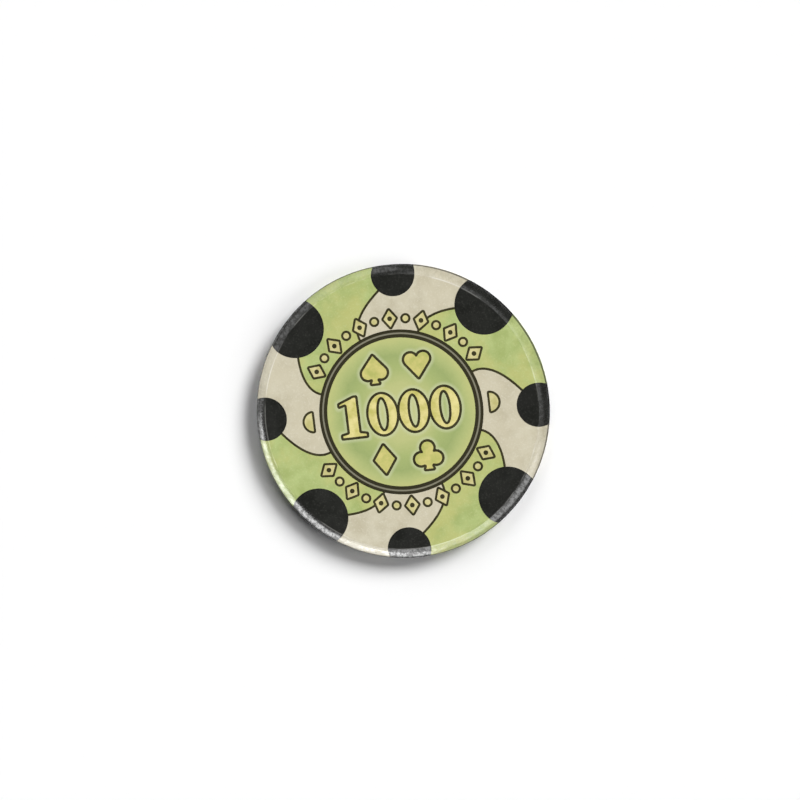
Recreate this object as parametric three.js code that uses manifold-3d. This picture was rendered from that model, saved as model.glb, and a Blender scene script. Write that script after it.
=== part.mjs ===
// A casino-style poker chip. Two moulded ivory halves close over a steel slug. Green blades and black round
// spots run through the full thickness of the rim and are keyed to the halves by a tongue at mid height.
// A printed label sits in a shallow recess on each face, inside a black ring that covers the blades' ends.
// The chip lies on its rear face: the origin is the centre of that face, and +Z leaves the front face.
import * as THREE from 'three';
import { mergeVertices } from 'three/addons/utils/BufferGeometryUtils.js';
import Module from 'manifold-3d';

const wasm = await Module();
wasm.setup();

// Driving dimensions: lengths in millimetres, angles in degrees
const CHIP_DIAMETER = 39;
const CHIP_THICKNESS = 3.3;
const SHOULDER_WIDTH = 1.3;
const SHOULDER_DROP = 0.85;
const SHOULDER_BULGE = 0.1;

const LABEL_RADIUS = 9.75;
const LABEL_THICKNESS = 0.28;
const LABEL_SINK = 0.05;
const RING_INNER = 9.87;
const RING_OUTER = 10.9;
const RING_THICKNESS = 0.5;
const RING_SINK = 0.02;

const BLADE_COUNT = 4;
const BLADE_ARC = 48;
const BLADE_PHASE = 33;
const BLADE_INNER = 10.35;
const WHIRL = 14;
const LARGE_SPOT = { place: 17.9, radius: 3.9, edge: 1 };
const SMALL_SPOT = { place: 18.2, radius: 2.9, edge: -1 };

const SLUG_RADIUS = 9.5;
const SLUG_THICKNESS = 1.6;
const PEG_COUNT = 4;
const PEG_CIRCLE = 6.2;
const PEG_RADIUS = 1;
const PEG_REACH = 0.2;

const TONGUE_WIDTH = 0.55;
const TONGUE_THICKNESS = 0.7;
const TONGUE_OUTER = 18.4;

const BLADE_GAP = 0.3;
const FIT_GAP = 0.1;
const PEG_GAP = 0.15;

// Steps on the round stretches
const RIM_STEPS = 72;
const SHOULDER_STEPS = 3;
const BLADE_EDGE_STEPS = 10;
const BLADE_END_STEPS = 4;
const SPOT_STEPS = 36;
const RING_STEPS = 60;
const PEG_STEPS = 12;

// How far a cutter runs past the surface it cuts, and how close two corners are to be one
const OVERSHOOT = 1;
const WELD = 1e-5;

// Worked-out sizes
const RIM_RADIUS = CHIP_DIAMETER / 2;
const FACE_RADIUS = RIM_RADIUS - SHOULDER_WIDTH;
const MIDDLE = CHIP_THICKNESS / 2;
const TURN = 360 / BLADE_COUNT;
const OUTSIDE = RIM_RADIUS + OVERSHOOT;
const ABOVE = CHIP_THICKNESS + OVERSHOOT;
const LABEL_DEPTH = LABEL_SINK + LABEL_THICKNESS + FIT_GAP / 2;
const RING_DEPTH = RING_SINK + RING_THICKNESS + FIT_GAP / 2;
const POCKET_HALF = SLUG_THICKNESS / 2 + FIT_GAP / 2;

const degrees = THREE.MathUtils.degToRad;

// A closed three.js geometry as a solid that can be joined and cut
function toSolid(geometry) {
  geometry.deleteAttribute('normal');
  geometry.deleteAttribute('uv');
  const welded = mergeVertices(geometry, WELD);
  const triangles = [];
  for (let i = 0; i < welded.index.count; i += 3) {
    const [a, b, c] = [0, 1, 2].map((corner) => welded.index.getX(i + corner));
    if (a !== b && b !== c && c !== a) triangles.push(a, b, c);
  }
  return new wasm.Manifold(new wasm.Mesh({
    numProp: 3,
    vertProperties: new Float32Array(welded.attributes.position.array),
    triVerts: new Uint32Array(triangles),
  }));
}

function toGeometry(solid) {
  const mesh = solid.getMesh();
  const geometry = new THREE.BufferGeometry();
  geometry.setAttribute('position', new THREE.BufferAttribute(new Float32Array(mesh.vertProperties), 3));
  geometry.setIndex(new THREE.BufferAttribute(new Uint32Array(mesh.triVerts), 1));
  geometry.computeVertexNormals();
  return geometry;
}

// A profile of [radius, height] points turned about the chip's axis
function turned(profile, steps) {
  const points = profile.map(([radius, height]) => new THREE.Vector2(radius, height));
  return toSolid(new THREE.LatheGeometry(points, steps).rotateX(Math.PI / 2));
}

function disc(radius, low, high, steps, x = 0, y = 0) {
  const geometry = new THREE.CylinderGeometry(radius, radius, high - low, steps);
  return toSolid(geometry.rotateX(Math.PI / 2).translate(x, y, (low + high) / 2));
}

function ring(inner, outer, low, high) {
  return turned([[inner, low], [outer, low], [outer, high], [inner, high], [inner, low]], RING_STEPS);
}

// The whole chip as one blank: flat faces, bulging shoulders and an upright edge
function chipBlank() {
  const slope = new THREE.Vector2(SHOULDER_WIDTH, -SHOULDER_DROP);
  const outward = new THREE.Vector2(SHOULDER_DROP, SHOULDER_WIDTH).normalize();
  const front = [];
  for (let step = 0; step <= SHOULDER_STEPS; step += 1) {
    const along = step / SHOULDER_STEPS;
    const bulge = SHOULDER_BULGE * 4 * along * (1 - along);
    front.push([
      FACE_RADIUS + slope.x * along + outward.x * bulge,
      CHIP_THICKNESS + slope.y * along + outward.y * bulge,
    ]);
  }
  const rear = front.map(([radius, height]) => [radius, CHIP_THICKNESS - height]);
  return turned([[0, 0], ...rear, ...front.reverse(), [0, CHIP_THICKNESS]], RIM_STEPS);
}

// The edge of a blade: an S-curve that leaves the label ring and meets the rim square to both
function bladeEdge(index, edge, radius, grow) {
  const span = RIM_RADIUS - RING_OUTER;
  const along = THREE.MathUtils.clamp((radius - RING_OUTER) / span, 0, 1);
  const whirl = degrees(WHIRL) * Math.cos(Math.PI * along);
  const slope = radius * degrees(WHIRL) * Math.sin(Math.PI * along) * Math.PI / span;
  const sideways = edge * grow * Math.hypot(1, slope) / radius;
  return degrees(BLADE_PHASE + TURN * index + edge * BLADE_ARC / 2) + whirl + sideways;
}

function bladePrism(index, grow, inner, outer, low, high) {
  const radii = [];
  for (let step = 0; step <= BLADE_EDGE_STEPS; step += 1) {
    radii.push(inner + (outer - inner) * step / BLADE_EDGE_STEPS);
  }
  const shape = new THREE.Shape();
  const first = bladeEdge(index, -1, inner, grow);
  shape.moveTo(inner * Math.cos(first), inner * Math.sin(first));
  for (const radius of radii.slice(1)) {
    const angle = bladeEdge(index, -1, radius, grow);
    shape.lineTo(radius * Math.cos(angle), radius * Math.sin(angle));
  }
  shape.absarc(0, 0, outer, bladeEdge(index, -1, outer, grow), bladeEdge(index, 1, outer, grow), false);
  for (const radius of radii.reverse().slice(1)) {
    const angle = bladeEdge(index, 1, radius, grow);
    shape.lineTo(radius * Math.cos(angle), radius * Math.sin(angle));
  }
  shape.absarc(0, 0, inner, bladeEdge(index, 1, inner, grow), first, true);
  const options = { depth: high - low, bevelEnabled: false, curveSegments: BLADE_END_STEPS };
  return toSolid(new THREE.ExtrudeGeometry(shape, options).translate(0, 0, low));
}

// Heights of the tongue that keys a piece between the two halves, or of the groove it sits in
function tongueSpan(grow) {
  const half = TONGUE_THICKNESS / 2 + grow;
  return [MIDDLE - half, MIDDLE + half];
}

// A blade, with its upright edge set off from the S-curve, or the space that it needs
function bladeSolid(index, edgeOffset, grow) {
  const inner = BLADE_INNER - grow;
  const upright = bladePrism(index, edgeOffset, inner, OUTSIDE, -OVERSHOOT, ABOVE);
  const reach = TONGUE_WIDTH + grow;
  const tongue = bladePrism(index, reach, inner, TONGUE_OUTER + grow, ...tongueSpan(grow));
  return upright.add(tongue);
}

// A round spot on a blade's edge, centred inside the rim so that its neck there is narrower than its head
function spotSolid(index, spot, grow) {
  const angle = bladeEdge(index, spot.edge, spot.place, 0);
  const x = spot.place * Math.cos(angle);
  const y = spot.place * Math.sin(angle);
  const upright = disc(spot.radius + grow, -OVERSHOOT, ABOVE, SPOT_STEPS, x, y);
  const [low, high] = tongueSpan(grow);
  const flange = disc(spot.radius + TONGUE_WIDTH + grow, low, high, SPOT_STEPS, x, y);
  return upright.add(flange.intersect(disc(TONGUE_OUTER + grow, low, high, RIM_STEPS)));
}

// The recess in one face for the label and its ring
function labelRecess(side) {
  const face = side > 0 ? CHIP_THICKNESS : 0;
  const floor = face - side * LABEL_DEPTH;
  const groove = face - side * RING_DEPTH;
  const above = face + side * OVERSHOOT;
  const half = FIT_GAP / 2;
  return disc(RING_OUTER + half, Math.min(floor, above), Math.max(floor, above), RING_STEPS)
    .add(ring(LABEL_RADIUS + half, RING_OUTER + half, Math.min(groove, above), Math.max(groove, above)));
}

// The locating pegs, or their holes when grow is more than zero
function pegs(low, high, grow) {
  let all = null;
  for (let index = 0; index < PEG_COUNT; index += 1) {
    const angle = degrees(360 / PEG_COUNT * index);
    const peg = disc(
      PEG_RADIUS + grow, low, high, PEG_STEPS, PEG_CIRCLE * Math.cos(angle), PEG_CIRCLE * Math.sin(angle),
    );
    all = all ? all.add(peg) : peg;
  }
  return all;
}

const IVORY = { color: 0xd3ccb2, roughness: 0.5, metalness: 0 };
const GREEN = { color: 0xb6c17a, roughness: 0.5, metalness: 0 };
const BLACK = { color: 0x262826, roughness: 0.45, metalness: 0 };
const LABEL_PRINT = { color: 0xb4be7d, roughness: 0.4, metalness: 0 };
const DARK_PRINT = { color: 0x2d2a1c, roughness: 0.4, metalness: 0 };
const STEEL = { color: 0x8d9094, roughness: 0.4, metalness: 1 };

const chip = new THREE.Group();

function addPiece(name, solid, finish) {
  const piece = new THREE.Mesh(toGeometry(solid), new THREE.MeshStandardMaterial(finish));
  piece.name = name;
  chip.add(piece);
}

const blank = chipBlank();
const recesses = labelRecess(1).add(labelRecess(-1));
const pocket = disc(SLUG_RADIUS + FIT_GAP, MIDDLE - POCKET_HALF, MIDDLE + POCKET_HALF, RING_STEPS);

// Green blades and black spots, with the ivory body cut to receive them
let body = blank.subtract(recesses).subtract(pocket);
for (let index = 0; index < BLADE_COUNT; index += 1) {
  const largeSpace = spotSolid(index, LARGE_SPOT, FIT_GAP);
  const smallSpace = spotSolid(index, SMALL_SPOT, FIT_GAP);
  const blade = bladeSolid(index, -BLADE_GAP / 2, 0).subtract(largeSpace).subtract(smallSpace);
  addPiece(`green_insert_${index + 1}`, blank.intersect(blade).subtract(recesses), GREEN);
  addPiece(`large_black_spot_${index + 1}`, blank.intersect(spotSolid(index, LARGE_SPOT, 0)), BLACK);
  addPiece(`small_black_spot_${index + 1}`, blank.intersect(spotSolid(index, SMALL_SPOT, 0)), BLACK);
  body = body.subtract(bladeSolid(index, BLADE_GAP / 2, FIT_GAP)).subtract(largeSpace).subtract(smallSpace);
}

// The two ivory halves: pegs on the rear half pass through the slug into sockets in the front half
const pegTop = MIDDLE + POCKET_HALF + PEG_REACH;
const frontSpace = disc(OUTSIDE, MIDDLE + FIT_GAP / 2, ABOVE, RIM_STEPS);
const rearSpace = disc(OUTSIDE, -OVERSHOOT, MIDDLE - FIT_GAP / 2, RIM_STEPS);
const sockets = pegs(MIDDLE, pegTop + FIT_GAP, PEG_GAP);
const rearPegs = pegs(MIDDLE - POCKET_HALF - FIT_GAP, pegTop, 0);
addPiece('front_half', body.intersect(frontSpace).subtract(sockets), IVORY);
addPiece('rear_half', body.intersect(rearSpace).add(rearPegs), IVORY);

// The steel slug between the halves
const slugLow = MIDDLE - SLUG_THICKNESS / 2;
const slugHigh = MIDDLE + SLUG_THICKNESS / 2;
const slugHoles = pegs(slugLow - OVERSHOOT, slugHigh + OVERSHOOT, PEG_GAP);
addPiece('steel_slug', disc(SLUG_RADIUS, slugLow, slugHigh, RING_STEPS).subtract(slugHoles), STEEL);

// A label and its ring on each face
const ringTop = CHIP_THICKNESS - RING_SINK;
const labelTop = CHIP_THICKNESS - LABEL_SINK;
addPiece('front_label', disc(LABEL_RADIUS, labelTop - LABEL_THICKNESS, labelTop, RING_STEPS), LABEL_PRINT);
addPiece('rear_label', disc(LABEL_RADIUS, LABEL_SINK, LABEL_SINK + LABEL_THICKNESS, RING_STEPS), LABEL_PRINT);
addPiece('front_label_ring', ring(RING_INNER, RING_OUTER, ringTop - RING_THICKNESS, ringTop), DARK_PRINT);
addPiece('rear_label_ring', ring(RING_INNER, RING_OUTER, RING_SINK, RING_SINK + RING_THICKNESS), DARK_PRINT);

export default chip;
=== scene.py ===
# %% [markdown]
# # A poker chip, dressed around its CAD frame
# A casino chip is a small moulded sandwich: two ivory halves close over a steel slug, coloured pieces run
# through the rim, and a printed label lies in a shallow recess on each face. One disc with a painted face
# could pass for it in a picture, but here each piece is made as itself, so that the chip also holds up
# from the side and close by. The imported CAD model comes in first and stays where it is. Everything is
# made in its frame: the chip lies on its rear face, +Z leaves the front face, and +X is the way the
# number reads. Sizes are written in millimetres, as on a drawing, and each piece is shrunk to metres as
# the last step of its making.

# %% Load the frame
import math

import bmesh
import bpy
from mathutils import Color, Matrix, Vector


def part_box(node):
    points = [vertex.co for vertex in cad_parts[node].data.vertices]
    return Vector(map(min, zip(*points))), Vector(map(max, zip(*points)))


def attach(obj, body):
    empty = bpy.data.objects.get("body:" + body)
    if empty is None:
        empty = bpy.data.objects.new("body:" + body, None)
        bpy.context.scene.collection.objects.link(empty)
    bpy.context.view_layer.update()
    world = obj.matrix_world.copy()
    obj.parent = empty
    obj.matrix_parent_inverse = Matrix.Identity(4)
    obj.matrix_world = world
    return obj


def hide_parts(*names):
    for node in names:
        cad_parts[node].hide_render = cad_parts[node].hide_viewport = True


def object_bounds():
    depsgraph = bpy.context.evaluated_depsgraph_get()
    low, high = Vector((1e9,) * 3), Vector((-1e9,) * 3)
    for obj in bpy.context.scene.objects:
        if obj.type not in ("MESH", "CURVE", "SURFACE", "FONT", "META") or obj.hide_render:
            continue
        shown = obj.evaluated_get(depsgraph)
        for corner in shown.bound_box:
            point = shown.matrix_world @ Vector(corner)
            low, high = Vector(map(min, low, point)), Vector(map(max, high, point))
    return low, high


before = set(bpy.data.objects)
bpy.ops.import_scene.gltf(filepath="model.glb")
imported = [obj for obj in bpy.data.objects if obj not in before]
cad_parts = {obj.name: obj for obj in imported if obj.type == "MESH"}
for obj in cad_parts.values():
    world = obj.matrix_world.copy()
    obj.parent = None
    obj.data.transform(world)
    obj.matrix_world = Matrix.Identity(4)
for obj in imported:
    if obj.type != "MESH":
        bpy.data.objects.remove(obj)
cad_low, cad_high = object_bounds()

MM = 0.001
RIM = (cad_high.x - cad_low.x) / 2 / MM
THICK = cad_high.z / MM
MIDDLE = THICK / 2
scene = bpy.context.scene
print(f"frame: {len(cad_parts)} CAD nodes, chip {2 * RIM:.1f} mm across and {THICK:.1f} mm thick")

# %% [markdown]
# ## Nodes written as Python
# Both the shapes that repeat and all the finishes are node trees. A tree could be built link by link, but
# that is hard to read back, so two small classes let it be written as sums. `Wire` stands for one output
# socket, and arithmetic on it adds Math nodes. `Graph` adds any other node from its type, its settings
# and its sockets' values or links.

# %% Wires
class Wire:
    """One output socket of a node. Arithmetic on it adds Math nodes to its tree."""

    def __init__(self, graph, socket):
        self.graph = graph
        self.socket = socket

    def __add__(self, other):
        return self.graph.maths("ADD", self, other)

    def __radd__(self, other):
        return self.graph.maths("ADD", other, self)

    def __sub__(self, other):
        return self.graph.maths("SUBTRACT", self, other)

    def __rsub__(self, other):
        return self.graph.maths("SUBTRACT", other, self)

    def __mul__(self, other):
        return self.graph.maths("MULTIPLY", self, other)

    def __rmul__(self, other):
        return self.graph.maths("MULTIPLY", other, self)

    def __truediv__(self, other):
        return self.graph.maths("DIVIDE", self, other)

    def __rtruediv__(self, other):
        return self.graph.maths("DIVIDE", other, self)

    def __pow__(self, other):
        return self.graph.maths("POWER", self, other)


print("wires: arithmetic on sockets is ready")

# %% Graphs
def set_stops(ramp, stops):
    """Gives a colour ramp its stops, each a position and a colour."""
    while len(ramp.elements) < len(stops):
        ramp.elements.new(1.0)
    for element, (position, colour) in zip(ramp.elements, stops):
        element.position = position
        element.color = colour


class Graph:
    """A node tree under construction."""

    def __init__(self, tree):
        self.tree = tree

    def node(self, kind, settings=None, sockets=None):
        """Adds a node: its settings first, then a value, a wire or a list of wires for each socket."""
        made = self.tree.nodes.new(kind)
        for name, value in (settings or {}).items():
            if name == "stops":
                set_stops(made.color_ramp, value)
            else:
                setattr(made, name, value)
        for key, value in (sockets or {}).items():
            for one in value if isinstance(value, list) else [value]:
                if isinstance(one, Wire):
                    self.tree.links.new(one.socket, made.inputs[key])
                else:
                    made.inputs[key].default_value = one
        return made

    def wire(self, kind, settings=None, sockets=None, output=0):
        """Adds a node and gives one of its outputs."""
        return Wire(self, self.node(kind, settings, sockets).outputs[output])

    def maths(self, operation, *values):
        return self.wire("ShaderNodeMath", {"operation": operation}, dict(enumerate(values)))

    def vector(self, x=0.0, y=0.0, z=0.0):
        """A vector put together from its X, Y and Z."""
        return self.wire("ShaderNodeCombineXYZ", None, {"X": x, "Y": y, "Z": z})

    def split(self, vector):
        """The X, Y and Z of a vector."""
        parts = self.node("ShaderNodeSeparateXYZ", None, {0: vector}).outputs
        return [Wire(self, part) for part in parts]


print("graphs: nodes from their type, settings and sockets are ready")

# %% [markdown]
# ## Finishes that share a place on the chip
# A finish on this chip depends on where it is: the flat face is satin, the slope of the shoulder is
# polished by handling, and the sharp corner is darkened by dirt and by painted shade. Unwrapped maps could
# hold that, one for each piece, but every piece keeps the chip's own frame, so Object coordinates already
# give the place.
# The helpers below turn them into a radius and a height in millimetres, and make the building blocks of
# most surfaces: noise of a given grain, a soft step between two values, and a mix of two colours.

# %% Helpers for finishes
STUDIO_LIGHT = 1.2
SCREEN_WHITE = 255
NOISE_ROUGHNESS = 0.6
# The Mix node's sockets for numbers and colours share their names, so the colour ones go by index.
MIX_SHARE = 0
MIX_FIRST = 6
MIX_SECOND = 7
MIX_RESULT = 2


def seen(red, green, blue):
    """The base colour that looks like a screen colour, 0 to 255, on a level face in the studio light."""
    screen = Color([value / SCREEN_WHITE for value in (red, green, blue)])
    base = [min(value / STUDIO_LIGHT, 1.0) for value in screen.from_srgb_to_scene_linear()]
    return (*base, 1.0)


class Finish(Graph):
    """A material under construction, with the place of a surface point on the chip."""

    def __init__(self, name):
        self.material = bpy.data.materials.new(name)
        self.material.use_nodes = True
        super().__init__(self.material.node_tree)
        self.tree.nodes.clear()
        metres = self.wire("ShaderNodeTexCoord", None, None, "Object")
        sockets = {0: metres, "Scale": 1 / MM}
        self.place = self.wire("ShaderNodeVectorMath", {"operation": "SCALE"}, sockets)
        x, y, self.height = self.split(self.place)
        self.radius = (x * x + y * y) ** 0.5
        self.bearing = self.maths("ARCTAN2", y, x)

    def noise(self, grain, detail, vector=None):
        """Cloudy noise, 0 to 1, with patches about as wide as grain, in millimetres."""
        sockets = {"Scale": 1 / grain, "Detail": detail, "Roughness": NOISE_ROUGHNESS}
        return self.wire("ShaderNodeTexNoise", None, {"Vector": vector or self.place, **sockets})

    def step(self, value, low, high):
        """0 below low, 1 above high, and a soft step between them."""
        sockets = {"Value": value, "From Min": low, "From Max": high}
        return self.wire("ShaderNodeMapRange", {"interpolation_type": "SMOOTHSTEP"}, sockets)

    def mix(self, share, first, second):
        """A colour between two colours."""
        sockets = {MIX_SHARE: share, MIX_FIRST: first, MIX_SECOND: second}
        return self.wire("ShaderNodeMix", {"data_type": "RGBA"}, sockets, MIX_RESULT)

    def along(self, share, first, second):
        """A number between two numbers."""
        return first + share * (second - first)

    def bump(self, height, distance):
        """A normal raised by height, whose full range stands distance millimetres tall."""
        sockets = {"Strength": 1.0, "Distance": distance * MM, "Height": height}
        return self.wire("ShaderNodeBump", None, sockets)

    def finish(self, sockets):
        """Ends the material with a Principled shader."""
        shader = self.wire("ShaderNodeBsdfPrincipled", None, sockets)
        self.node("ShaderNodeOutputMaterial", None, {"Surface": shader})
        return self.material


print(f"finishes: ready, and white on the screen needs a base colour of {seen(255, 255, 255)[0]:.2f}")

# %% [markdown]
# ## The moulded composite
# The body and the rim pieces are a mineral-filled plastic, the "clay" of a casino chip. Close up it isn't
# one colour: patches a few millimetres wide drift in shade, washes of a third shade lie over them, more
# of them near the label, and fine grains of filler show. One flat colour would look like a toy, and a
# photograph stretched over the rim would show its seams. Noise in the chip's own frame has no seams, and
# four grains of it, from clouds down to specks, are made once and shared by the colour, the gloss and the
# relief, as they share one filler in reality.

# %% Zones and grains of the composite
# A zone is where it starts and where it is full. A grain is its width in millimetres and its detail.
SHOULDER_WIDTH = 1.3
FACE = RIM - SHOULDER_WIDTH
SHOULDER_STARTS = (FACE - 0.04, FACE + 0.06)
POLISH_ENDS = (RIM - 0.12, RIM - 0.04)
DRIFT = (2.4, 4.0)
CLOUDS = (5.0, 3.0)
FINE = (0.2, 2.0)
SPECK = (0.3, 1.0)


class Composite(Finish):
    """Moulded composite under construction, with its grains and the zones of the chip."""

    def __init__(self, name):
        super().__init__(name)
        self.drift = self.noise(*DRIFT)
        self.clouds = self.noise(*CLOUDS)
        self.fine = self.noise(*FINE)
        self.speck = self.noise(*SPECK)
        self.shoulder = self.step(self.radius, *SHOULDER_STARTS)
        self.slope = self.shoulder * (1 - self.step(self.radius, *POLISH_ENDS))


print(f"composite: flat face out to {FACE:.1f} mm, grains from {FINE[0]} to {CLOUDS[0]} mm")

# %% Shades in the composite
WASH_ENDS = (11.0, 16.5)
WASH_NEAR_LABEL = 0.12
SHADE_STEP = (0.3, 0.7)
WASH_STEP = (0.42, 0.68)
GRAIN_STEP = (0.5, 0.75)
SPECK_STEP = (0.62, 0.8)
WASH_SHARE = 0.7
GRAIN_SHARE = 0.4


def shades(body, pale, deep, wash, grain):
    """Two shades that drift into each other, with washes, grains of filler and deep specks."""
    near_label = 1 - body.step(body.radius, *WASH_ENDS)
    washed = body.step(body.clouds + near_label * WASH_NEAR_LABEL, *WASH_STEP) * WASH_SHARE
    colour = body.mix(body.step(body.drift, *SHADE_STEP), deep, pale)
    colour = body.mix(washed, colour, wash)
    colour = body.mix(body.step(body.fine, *GRAIN_STEP) * GRAIN_SHARE, colour, grain)
    return body.mix(body.step(body.speck, *SPECK_STEP) * GRAIN_SHARE, colour, deep)


print(f"shades: washes fade out {WASH_ENDS[1]} mm from the axis")

# %% [markdown]
# ## Wear, dirt and painted light
# Fingers and other chips polish the slope of the shoulder and scuff it: the scuffs run down the slope and
# break up its shine. The crease at the edge of the face is worn pale in stretches, and that pale line is
# also a painted highlight along the crease. Dull dirt, together with painted shade, darkens the corner
# below the slope, mostly on its upright side, and thinly on the upright edge. Such wear is often painted
# by hand. Here each kind is a mask, worked out from the radius and the height and broken up by noise, so
# that it runs on from piece to piece, as it does on a chip that was handled whole.

# %% Scuffs, pale crease with painted highlight, dirt and painted shade
SHOULDER_DROP = 0.85
EDGE_HALF = MIDDLE - SHOULDER_DROP
SCUFF_WIDTH = 0.42
SCUFF_LENGTH = 0.6
SCUFF = (1.0, 2.0)
SCUFF_STEP = (0.4, 0.6)
WORN_HIGHLIGHT_FADES = (0.03, 0.12)
WORN_HIGHLIGHT_STEP = (0.45, 0.62)
WORN_HIGHLIGHT_SHARE = 0.8
# The corner and edge zones below are darkened by dirt and by painted shade of the edge.
DIRT_AND_SHADE_FADES = (0.08, 0.34)
CORNER_STARTS = (RIM - 0.2, RIM - 0.08)
CORNER_DIRT_AND_SHADE = (0.65, 1.0)
EDGE_STARTS = (RIM - 0.06, RIM - 0.01)
EDGE_DIRT_AND_SHADE = (0.4, 0.7)


def scuffs(body):
    """Streaks down the shoulder, from noise that is narrow round the rim and longer across it."""
    across = body.bearing * (RIM / SCUFF_WIDTH)
    streaks = body.vector(across, body.radius / SCUFF_LENGTH, body.height / SCUFF_LENGTH)
    return body.step(body.noise(*SCUFF, streaks), *SCUFF_STEP) * body.shoulder


def worn_crease_and_highlight(body):
    """Stretches of the crease at the edge of the face, worn pale, which also paints the highlight that the
    crease catches.
    """
    off_crease = body.maths("ABSOLUTE", body.radius - FACE)
    return (1 - body.step(off_crease, *WORN_HIGHLIGHT_FADES)) * body.step(body.clouds, *WORN_HIGHLIGHT_STEP) * WORN_HIGHLIGHT_SHARE


def dirt_and_painted_shade(body):
    """Dirt and painted shade along the corner below the slope, and thinly on the upright edge."""
    from_middle = body.maths("ABSOLUTE", body.height - MIDDLE)
    off_corner = ((body.radius - RIM) ** 2 + (from_middle - EDGE_HALF) ** 2) ** 0.5
    corner = (1 - body.step(off_corner, *DIRT_AND_SHADE_FADES)) * body.along(body.speck, *CORNER_DIRT_AND_SHADE)
    corner = corner * body.step(body.radius, *CORNER_STARTS)
    edge = body.step(body.radius, *EDGE_STARTS) * body.along(body.drift, *EDGE_DIRT_AND_SHADE)
    return body.maths("MAXIMUM", corner, edge)


print(f"wear: the crease lies {FACE:.1f} mm and the corner {RIM:.1f} mm from the axis")

# %% [markdown]
# ## Ivory, green and black
# The three colours of the rim are one composite with different pigments, so one function makes them all,
# and they differ only in their shades. The faces and the upright edge keep the satin of the mould, and
# only the slope shines. A lower roughness alone would leave that shine weak, so it is a clear coat over
# the satin, whose weight follows the slope and drops where a scuff breaks it.

# %% Three composites
FACE_SPECULAR = 0.08
SATIN = (0.56, 0.68)
POLISHED = (0.2, 0.36)
DIRT_AND_SHADE_ROUGHNESS = 0.95
POLISH_IOR = 2.0
POLISH_ROUGHNESS = 0.2
SCUFFED_POLISH = 0.42
SCUFF_SHARE = 0.1
FINE_RELIEF = 0.3
SPECK_RELIEF = 0.6
RELIEF = 0.05


def composite(name, pale, deep, wash, grain, worn_and_highlight, dirt_and_shade):
    """Moulded composite in near shades of one colour, with a pale crease for wear and a painted highlight,
    and a corner and edge darkened by dirt and painted shade.
    """
    body = Composite(name)
    scuff = scuffs(body)
    dirt_and_shade_mask = dirt_and_painted_shade(body)
    colour = shades(body, pale, deep, wash, grain)
    # A pale crease: wear and a painted highlight.
    colour = body.mix(worn_crease_and_highlight(body), colour, worn_and_highlight)
    colour = body.mix(scuff * SCUFF_SHARE, colour, grain)
    satin = body.along(body.fine, *SATIN)
    polished = body.along(body.speck, *POLISHED)
    relief = body.fine * FINE_RELIEF + body.speck * body.shoulder * SPECK_RELIEF
    return body.finish({
        # The corner and upright edge are darkened here: dirt and painted shade.
        "Base Color": body.mix(dirt_and_shade_mask, colour, dirt_and_shade),
        "Roughness": body.along(dirt_and_shade_mask, body.along(body.slope, satin, polished), DIRT_AND_SHADE_ROUGHNESS),
        "Specular IOR Level": FACE_SPECULAR,
        "Coat Weight": body.slope * body.along(scuff, 1.0, SCUFFED_POLISH),
        "Coat IOR": POLISH_IOR,
        "Coat Roughness": POLISH_ROUGHNESS,
        "Normal": body.bump(relief, RELIEF),
    })


# The dirt colour of each composite darkens its corner and edge: dirt and painted shade.
# The worn colour of each composite lightens its crease: wear and a painted highlight.
ivory = composite(
    "ivory_composite",
    pale=seen(219, 213, 190),
    deep=seen(198, 190, 164),
    wash=seen(210, 202, 176),
    grain=seen(234, 229, 212),
    worn_and_highlight=seen(240, 236, 222),
    dirt_and_shade=seen(52, 47, 38),
)
green = composite(
    "green_composite",
    pale=seen(187, 202, 134),
    deep=seen(168, 183, 113),
    wash=seen(198, 197, 124),
    grain=seen(210, 216, 158),
    worn_and_highlight=seen(226, 234, 184),
    dirt_and_shade=seen(46, 48, 30),
)
black = composite(
    "black_composite",
    pale=seen(40, 41, 38),
    deep=seen(26, 27, 24),
    wash=seen(34, 34, 32),
    grain=seen(70, 70, 66),
    worn_and_highlight=seen(112, 112, 108),
    dirt_and_shade=seen(8, 8, 8),
)
print(f"composites: {ivory.name}, {green.name} and {black.name}, {len(ivory.node_tree.nodes)} nodes each")

# %% [markdown]
# ## The printed label
# The label is shaded like a hand-tinted print: pale yellow-green against the ring, a deeper green band
# inside it, and pale again towards the number, with a pale halo where the tint stops short of the motifs.
# An image could be wrapped on it, but it would blur close by. A colour ramp over the radius gives the
# bands, and noise added to the radius makes their edges wander as a wash of ink does. The halo follows a
# distance that a later step stores on the label's own mesh.

# %% Tinted label
label_low, label_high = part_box("front_label")
LABEL_RADIUS = label_high.x / MM
LABEL_TINTS = [
    (0.0, seen(200, 203, 140)),
    (0.4, seen(190, 196, 130)),
    (0.6, seen(168, 183, 114)),
    (0.78, seen(156, 173, 107)),
    (0.9, seen(178, 189, 121)),
    (1.0, seen(192, 197, 127)),
]
FIBRE_TINT = seen(222, 222, 170)
HALO_TINT = seen(206, 212, 170)
TINT_DRIFT = (2.6, 4.0)
TINT_WANDER = 0.16
FIBRE = (0.3, 2.0)
FIBRE_SHARE = 0.12
HALO = (0.22, 0.75)
HALO_SHARE = 0.6
PRINT_DISTANCE = "print_distance"
PRINT_SPECULAR = 0.14
LABEL_ROUGHNESS = (0.5, 0.6)
LABEL_RELIEF = 0.006


def printed(finish, colour, grain, roughness, relief):
    """Ends the finish of a printed surface, whose gloss and relief follow one grain."""
    return finish.finish({
        "Base Color": colour,
        "Roughness": finish.along(grain, *roughness),
        "Specular IOR Level": PRINT_SPECULAR,
        "Normal": finish.bump(grain, relief),
    })


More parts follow.
